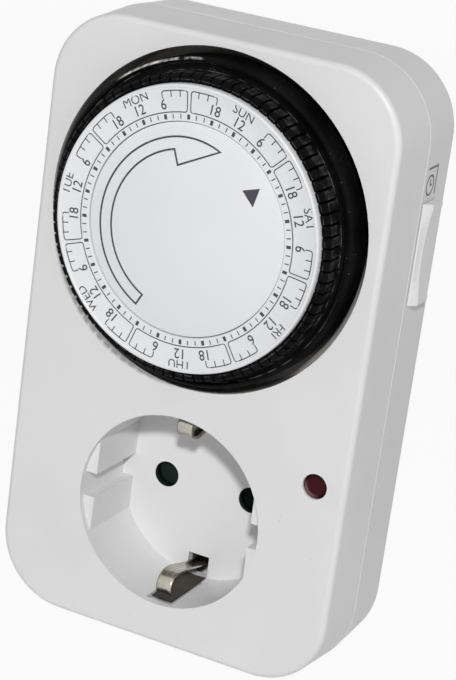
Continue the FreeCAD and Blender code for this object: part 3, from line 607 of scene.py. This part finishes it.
def rounded_path(runs, radius):
    """Joins runs of places with small rounded corners between them."""
    path = list(runs[0])
    for run in runs[1:]:
        corner = Vector(run[0])
        into = (corner - Vector(path[-2])).normalized()
        out = (Vector(run[1]) - corner).normalized()
        path.pop()
        start = corner - into * radius
        end = corner + out * radius
        for share in (0.0, 0.25, 0.5, 0.75, 1.0):
            first = start.lerp(corner, share)
            second = corner.lerp(end, share)
            path.append(tuple(first.lerp(second, share)))
        path += [place for place in run[1:] if (Vector(place) - corner).length > radius]
    return path


# Faces that carry print: pairs are metres across and up from the dial's axis

INK_STAND = 0.02 * MM
SIDE_INK_STAND = 0.03 * MM
ARROW_DROP = 0.45 * MM


def ring_face(a, b):
    return (a, RING_TOP - INK_STAND, DIAL_Z + b)


def cap_face(a, b):
    return (a, CAP_TOP - INK_STAND, DIAL_Z + b)


def arrow_face(a, b):
    return cap_face(a, b - ARROW_DROP)


def side_face(a, b):
    """A place on the rear shell's right side: a is depth behind the front face, b is height."""
    lean = REAR_LEAN * (FRONT + a - SEAM)
    return (HALF_WIDTH - lean + SIDE_INK_STAND, FRONT + a, b)


# Dial print

TICK_IN = 20.50 * MM
TICK_OUT = 21.42 * MM
THIN_TICK_IN = TICK_IN + 0.06 * MM
BOLD = 0.58 * MM
THIN = 0.20 * MM
DAY_ARC = 21.76 * MM
OUTER_ARC = 25.65 * MM
OUTER_FOOT = OUTER_ARC - 1.35 * MM
SHORT_TICK = 1.15 * MM
DAY_GAP = 0.85
DAY_CORNER = 0.55 * MM
NUMBER_RADIUS = 23.15 * MM
NUMBER_SIZE = 2.75 * MM
NAME_RADIUS = 25.25 * MM
NAME_SIZE = 2.40 * MM
DAY_NAMES = ("MON", "TUE", "WED", "THU", "FRI", "SAT", "SUN")


def draw_day(ink, midnight, day_name):
    """One day of the scale, from midnight counter-clockwise to the next midnight."""
    start = midnight + DAY_GAP
    end = midnight + DAY_ANGLE - DAY_GAP
    morning = midnight + 6 * HOUR
    evening = midnight + 18 * HOUR
    runs = [
        [polar(OUTER_FOOT, morning), polar(OUTER_ARC, morning)],
        arc(OUTER_ARC, morning, start),
        [polar(OUTER_ARC, start), polar(DAY_ARC, start)],
        arc(DAY_ARC, start, end),
        [polar(DAY_ARC, end), polar(OUTER_ARC, end)],
        arc(OUTER_ARC, end, evening),
        [polar(OUTER_ARC, evening), polar(OUTER_FOOT, evening)],
    ]
    ink.line(rounded_path(runs, DAY_CORNER), THIN)
    for hour in (2, 4, 20, 22):
        turn = midnight + hour * HOUR
        ink.line([polar(OUTER_ARC, turn), polar(OUTER_ARC - SHORT_TICK, turn)], THIN)
    for hour in (6, 12, 18):
        turn = midnight + hour * HOUR
        ink.text(str(hour), polar(NUMBER_RADIUS, turn), NUMBER_SIZE, turn, 0.90)
    noon = midnight + 12 * HOUR
    ink.text(day_name, polar(NAME_RADIUS, noon), NAME_SIZE, noon, 0.98)


def print_scale():
    """Seven days, and one tick to a tab, every third one bold."""
    ink = Print(ring_face)
    for day, day_name in enumerate(DAY_NAMES):
        draw_day(ink, FIRST_MIDNIGHT + day * DAY_ANGLE, day_name)
    for tick in range(TAB_COUNT):
        turn = FIRST_MIDNIGHT + tick * TAB_PITCH
        inner, width = (THIN_TICK_IN, THIN) if tick % 3 else (TICK_IN, BOLD)
        ink.line([polar(inner, turn), polar(TICK_OUT, turn)], width)
    ink.piece("dial_scale_print", "ink", "dial")


# Cap print

ARROW_OUTER = 17.75
ARROW_INNER = 15.45
ARROW_BARB = 12.5
ARROW_TAIL = 242.4
ARROW_TIP = 73.3
ARROW_NOTCH = 106.0
ARROW_LINE = 0.36 * MM


def print_cap():
    """Turning arrow as an outline, and the small pointer."""
    ink = Print(arrow_face)
    bent_from = ARROW_NOTCH + 4
    outer = arc(ARROW_OUTER * MM, ARROW_TAIL, bent_from)
    steps = 12
    for step in range(1, steps + 1):
        share = step / steps
        radius = (ARROW_OUTER - 0.75 * share * share) * MM
        outer.append(polar(radius, bent_from + (ARROW_TIP - bent_from) * share))
    barb = polar(ARROW_BARB * MM, ARROW_NOTCH - 1)
    inner = arc(ARROW_INNER * MM, ARROW_NOTCH, ARROW_TAIL)
    ink.line(outer + [barb] + inner, ARROW_LINE, closed=True)
    ink.piece("cap_arrow_print", "ink", "housing")
    pointer = Print(cap_face)
    pointer.shape([(10.2 * MM, 10.0 * MM), (12.7 * MM, 7.4 * MM), (13.6 * MM, 11.1 * MM)])
    pointer.piece("cap_pointer_print", "ink_violet", "housing")


# Mark beside the slider: a clock under a bracket

CLOCK_DEPTH = 15.9 * MM
CLOCK_HEIGHT = 71.5 * MM
CLOCK_RADIUS = 1.85 * MM
MARK_LINE = 0.42 * MM
HAND_LINE = 0.36 * MM


def print_side_mark():
    ink = Print(side_face)
    middle = Vector((CLOCK_DEPTH, CLOCK_HEIGHT))
    ring = [tuple(middle + Vector(polar(CLOCK_RADIUS, turn))) for turn in range(0, 360, 10)]
    hands = [middle + Vector((0, 1.2 * MM)), middle, middle + Vector((1.0 * MM, 0))]
    bracket = [(14.0, 74.8), (19.0, 74.8), (19.0, 69.4)]
    ink.line(ring, MARK_LINE, closed=True)
    ink.line(hands, HAND_LINE)
    ink.line([(a * MM, b * MM) for a, b in bracket], MARK_LINE)
    ink.piece("side_mark_print", "ink", "housing")


# Turned pieces of the dial; radius and depth behind the front face are in millimetres

TURNED_STEPS = 168
DISC_THICK = 1.1


def turned_piece(name, profile, body, node):
    """A ring or disc turned about the dial's axis, finer than the CAD node that it replaces."""
    points = []
    for step in range(TURNED_STEPS):
        turn = 360.0 * step / TURNED_STEPS
        for radius, depth in profile:
            x, up = polar(radius * MM, turn)
            points.append((x, FRONT + depth * MM, DIAL_Z + up))
    faces = skin(TURNED_STEPS, len(profile), closed=True)
    thing = new_piece(name, points, faces, "dial_white", body, smooth=True)
    thing.data.set_sharp_from_angle(angle=math.radians(28))
    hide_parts(node)


def round_edge(radius, depth, size, start, end, steps=6):
    """Points of a rounded edge with its centre at radius and depth."""
    places = []
    for step in range(steps + 1):
        out, rise = polar(size, start + (end - start) * step / steps)
        places.append((radius + out, depth - rise))
    return places


def make_scale_ring():
    """The printed ring with its raised round rim."""
    face = (RING_TOP - FRONT) / MM
    under = (CAP_TOP - FRONT) / MM + DISC_THICK
    inner = 20.10
    outer = 26.9
    profile = [(inner, under), (inner, face + 0.12), (inner + 0.12, face)]
    profile += [(25.98, face), (26.10, face - 0.06)]
    profile += round_edge(26.48, face + 0.12, size=0.36, start=150, end=0)
    profile += [(outer, face + 0.3), (outer, under)]
    turned_piece("scale_ring_moulded", profile, "dial", "scale_ring")


def make_centre_cap():
    """The fixed cap with its short post behind."""
    top = (CAP_TOP - FRONT) / MM
    under = top + DISC_THICK
    post_end = under + 7.5
    axis = 0.001
    edge = 19.95
    post = 2.2
    profile = [(axis, top), (edge - 0.20, top), (edge - 0.05, top + 0.06), (edge, top + 0.25)]
    profile += [(edge, under), (post, under), (post, post_end), (axis, post_end)]
    turned_piece("centre_cap_moulded", profile, "housing", "centre_cap")


# Parting seam


def housing_outline(stand, steps=14):
    """The housing's rounded outline, standing out from it, as (x, z) places."""
    side = HALF_WIDTH - CORNER
    top = TOP_EDGE - CORNER
    bottom = BOTTOM_EDGE + CORNER
    places = []
    for quarter, (cx, cz) in enumerate(((side, top), (-side, top), (-side, bottom), (side, bottom))):
        for step in range(steps + 1):
            x, z = polar(CORNER + stand, 90.0 * quarter + 90.0 * step / steps)
            places.append((cx + x, cz + z))
    return places


def make_seam():
    """The fine raised lip where the two shells meet."""
    start = SEAM - 0.16 * MM
    end = SEAM + 0.04 * MM
    sunk = -0.1 * MM
    rise = 0.05 * MM
    section = ((start, sunk), (start, rise), (end, rise), (end, sunk))
    rings = [[(x, y, z) for x, z in housing_outline(stand)] for y, stand in section]
    points = [point for ring in rings for point in ring]
    faces = skin(len(rings), len(rings[0]))
    new_piece("seam_lip", points, faces, "housing_white", "housing")


# Earth clips, with the channels that they lie in; depths and heights are in millimetres

CLIP_LINE = [
    (4.6, 18.3), (3.5, 17.9), (3.1, 16.9), (3.6, 15.6), (4.9, 14.75),
    (6.6, 14.6), (9.0, 15.0), (12.6, 15.9), (17.6, 16.8), (20.0, 16.9),
    (26.0, 16.9), (29.5, 17.3), (34.0, 17.9), (38.0, 17.5), (40.9, 17.0),
]
CLIP_THICK = 0.6 * MM
CLIP_WIDTH = 3.2 * MM
CLIP_BOW = 0.28 * MM
CLIP_LANES = 8
RUN_STEPS = 8
TIP_STEPS = 14
BOWED_STEPS = 90


def spline(places):
    """A smooth curve through the places."""
    out = []
    last = len(places) - 1
    for index in range(last):
        p0 = Vector(places[max(index - 1, 0)])
        p1 = Vector(places[index])
        p2 = Vector(places[index + 1])
        p3 = Vector(places[min(index + 2, last)])
        for step in range(RUN_STEPS):
            t = step / RUN_STEPS
            slope = (p2 - p0) * t
            curve = (2 * p0 - 5 * p1 + 4 * p2 - p3) * t * t
            twist = (3 * p1 - p0 - 3 * p2 + p3) * t * t * t
            out.append(0.5 * (2 * p1 + slope + curve + twist))
    out.append(Vector(places[-1]))
    return out


def clip_section(index, place, normal, side):
    """One closed section of a clip: bowed in the recess, narrowed to a round tip at its end."""
    from_tip = min(1.0, index / TIP_STEPS + 0.18)
    half = CLIP_WIDTH / 2 * math.sqrt(1 - (1 - from_tip) ** 2)
    bow = CLIP_BOW if index < BOWED_STEPS else 0.0
    lanes = [lane / CLIP_LANES * 2 - 1 for lane in range(CLIP_LANES + 1)]
    section = []
    for layer, row in ((0.5, lanes), (-0.5, reversed(lanes))):
        for lane in row:
            thin = 1 - 0.35 * abs(lane) ** 6
            spot = place + normal * (CLIP_THICK * layer * thin - bow * lane * lane)
            section.append((lane * half, FRONT + spot.x, spot.y * side))
    return section


def make_earth_clip(name, side, node):
    """A bent strip with a curled tip in the recess and a bowed run at the plug's side."""
    path = spline([(depth * MM, height * MM) for depth, height in CLIP_LINE])
    total = len(path)
    points = []
    for index, place in enumerate(path):
        ahead = path[min(index + 1, total - 1)] - path[max(index - 1, 0)]
        normal = Vector((-ahead.y, ahead.x)).normalized()
        points += clip_section(index, place, normal, side)
    size = 2 * (CLIP_LANES + 1)
    faces = skin(total, size) + ends(total, size)
    clip = new_piece(name, points, faces, "nickel", "housing", smooth=True)
    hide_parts(node)


def make_clip_channel(name, side):
    """A thin dark sheet on the recess wall behind an earth clip, from the floor to near the rim:
    painted shade of the channel that the clip lies in.
    """
    steps = 8
    spread = 13.2
    section = ((19.30, 2.6), (19.30, 17.3), (19.42, 17.3), (19.42, 2.6))
    points = []
    for step in range(steps + 1):
        turn = 90.0 * side + spread * (step / steps - 0.5)
        for radius, depth in section:
            x, z = polar(radius * MM, turn)
            points.append((x, FRONT + depth * MM, z))
    faces = skin(steps + 1, len(section)) + ends(steps + 1, len(section))
    new_piece(name, points, faces, "channel_dark", "housing")


# Pin entries


def make_entry_lining(name, pin):
    """Dark sleeve end inside a pin entry, down to the shutter."""
    steps = 32
    middle = middle_of(pin).x
    section = ((2.64, 17.46), (2.64, 19.6), (2.60, 19.6), (2.60, 17.48))
    points = []
    for radius, depth in section:
        for step in range(steps):
            x, z = polar(radius * MM, 360.0 * step / steps)
            points.append((middle + x, FRONT + depth * MM, z))
    faces = skin(len(section), steps, closed=True)
    new_piece(name, points, faces, "shutter_green", "housing", smooth=True)


# Slider knob

KNOB_STEPS = 28
KNOB_RISE = 1.72
KNOB_DIP = 0.85
KNOB_EASE = 0.25 * MM
KNOB_FOOT = HALF_WIDTH + 0.05 * MM
STEM_HALF = 2.5 * MM
STEM_FRONT = FRONT + 15.6 * MM
STEM_BACK = FRONT + 18.0 * MM


def knob_section(share, ease, z):
    """The knob's section at a share of its length: a sloping near flank and a flat far one."""
    away = abs(share * 2 - 1)
    top = HALF_WIDTH + (KNOB_RISE - KNOB_DIP * (1 - away * away)) * MM - ease
    near_side = knob_low.y
    far_side = knob_high.y
    return [
        (KNOB_FOOT, near_side, z),
        (KNOB_FOOT + 0.25 * MM, near_side + 0.15 * MM, z),
        (top - 0.18 * MM, near_side + 1.35 * MM, z),
        (top, near_side + 1.6 * MM, z),
        (top, far_side - 0.25 * MM, z),
        (top - 0.25 * MM, far_side, z),
        (KNOB_FOOT, far_side, z),
    ]


def stem_section(x):
    low = DIAL_Z - STEM_HALF
    high = DIAL_Z + STEM_HALF
    return [(x, STEM_FRONT, low), (x, STEM_FRONT, high), (x, STEM_BACK, high), (x, STEM_BACK, low)]


def make_side_knob():
    """Slider knob with a hollowed face and rounded edges, on its stem."""
    points = []
    for step in range(KNOB_STEPS + 1):
        share = step / KNOB_STEPS
        ease = KNOB_EASE if step in (0, KNOB_STEPS) else 0.0
        points += knob_section(share, ease, knob_low.z + (knob_high.z - knob_low.z) * share)
    size = len(points) // (KNOB_STEPS + 1)
    faces = skin(KNOB_STEPS + 1, size) + ends(KNOB_STEPS + 1, size)
    stem_start = len(points)
    points += stem_section(knob_low.x) + stem_section(KNOB_FOOT)
    faces += skin(2, 4, start=stem_start) + ends(2, 4, start=stem_start)
    knob = new_piece("slider_knob", points, faces, "slider_white", "slider", smooth=True)
    knob.data.set_sharp_from_angle(angle=math.radians(30))
    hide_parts("mode_slider")


# Floor, world, lamps and camera

PURE_WHITE = (1.0, 1.0, 1.0)
FLOOR_REACH = 3.0
FLOOR_DROP = 0.2 * MM
FLOOR_WHITE = 0.92
WORLD_LIGHT = 0.19


def make_floor():
    """A wide pale floor that the camera sees as nearly white, with the part's soft shadow."""
    finish = new_finish("floor_pale")
    clouds = finish.noise(finish.place(), per_metre=3.0)
    colour = finish.tint(clouds, (0.86, 0.86, 0.86), (0.84, 0.84, 0.84))
    diffuse = finish.node("ShaderNodeBsdfDiffuse", None, {"Color": colour})["BSDF"]
    glow = {"Color": PURE_WHITE, "Strength": 1.0}
    white = finish.node("ShaderNodeEmission", None, glow)["Emission"]
    blend = {0: finish.seen() * FLOOR_WHITE, 1: diffuse, 2: white}
    mixed = finish.node("ShaderNodeMixShader", None, blend)["Shader"]
    finish.node("ShaderNodeOutputMaterial", None, {"Surface": mixed})
    mesh = bpy.data.meshes.new("floor")
    far = FLOOR_REACH
    level = BOTTOM_EDGE - FLOOR_DROP
    corners = [(-far, -far, level), (far, -far, level), (far, far, level), (-far, far, level)]
    mesh.from_pydata(corners, [], [(0, 1, 2, 3)])
    floor = bpy.data.objects.new("floor", mesh)
    mesh.materials.append(finish.owner)
    bpy.context.collection.objects.link(floor)


def make_world():
    """White where it is seen, and a much weaker light from all sides."""
    world = bpy.data.worlds.new("studio")
    finish = Finish(world)
    strength = WORLD_LIGHT + finish.seen() * (1 - WORLD_LIGHT)
    sky = finish.node("ShaderNodeBackground", None, {"Color": PURE_WHITE, "Strength": strength})
    finish.node("ShaderNodeOutputWorld", None, {"Surface": sky["Background"]})
    bpy.context.scene.world = world


def make_lamp(name, place, target, size, power):
    lamp = bpy.data.lights.new(name, "AREA")
    lamp.shape = "DISK"
    lamp.size = size
    lamp.energy = power
    thing = bpy.data.objects.new(name, lamp)
    thing.location = place
    thing.rotation_euler = (Vector(target) - Vector(place)).to_track_quat("-Z", "Y").to_euler()
    bpy.context.collection.objects.link(thing)
    return thing


def make_lamps():
    """A small hard key from the front at the right, and a back lamp without a mirror image."""
    make_lamp("key", place=(0.580, -1.303, 0.806), target=(0, -0.03, 0.03), size=0.11, power=17.4)
    back = make_lamp("back", place=(-0.5, 1.35, 0.13), target=(0, -0.01, 0.03), size=0.25, power=7.5)
    back.visible_glossy = False


def make_camera():
    """The photo's camera, fitted to the recess, the pin entries and the outline."""
    place = Vector((172.6, -407.1, 168.8)) * MM
    target = Vector((7.78, -45.0, 37.52)) * MM
    roll = Matrix.Rotation(math.radians(7.83), 4, "Z")
    look = (target - place).to_track_quat("-Z", "Y").to_matrix().to_4x4()
    camera = bpy.data.cameras.new("camera")
    camera.lens = 118.9
    camera.sensor_width = 36.0
    camera.clip_start = 0.01
    thing = bpy.data.objects.new("camera", camera)
    thing.matrix_world = Matrix.Translation(place) @ look @ roll
    bpy.context.collection.objects.link(thing)
    bpy.context.scene.camera = thing


paint_cad_parts()
make_scale_ring()
make_centre_cap()
print_scale()
print_cap()
print_side_mark()
make_seam()
make_earth_clip("earth_clip_upper", 1, "earth_spring_upper")
make_earth_clip("earth_clip_lower", -1, "earth_spring_lower")
make_clip_channel("clip_channel_upper", 1)
make_clip_channel("clip_channel_lower", -1)
make_entry_lining("pin_entry_lining_left", "neutral_pin")
make_entry_lining("pin_entry_lining_right", "live_pin")
make_side_knob()
make_floor()
make_world()
make_lamps()
make_camera()
bpy.context.scene.view_settings.view_transform = "Standard"
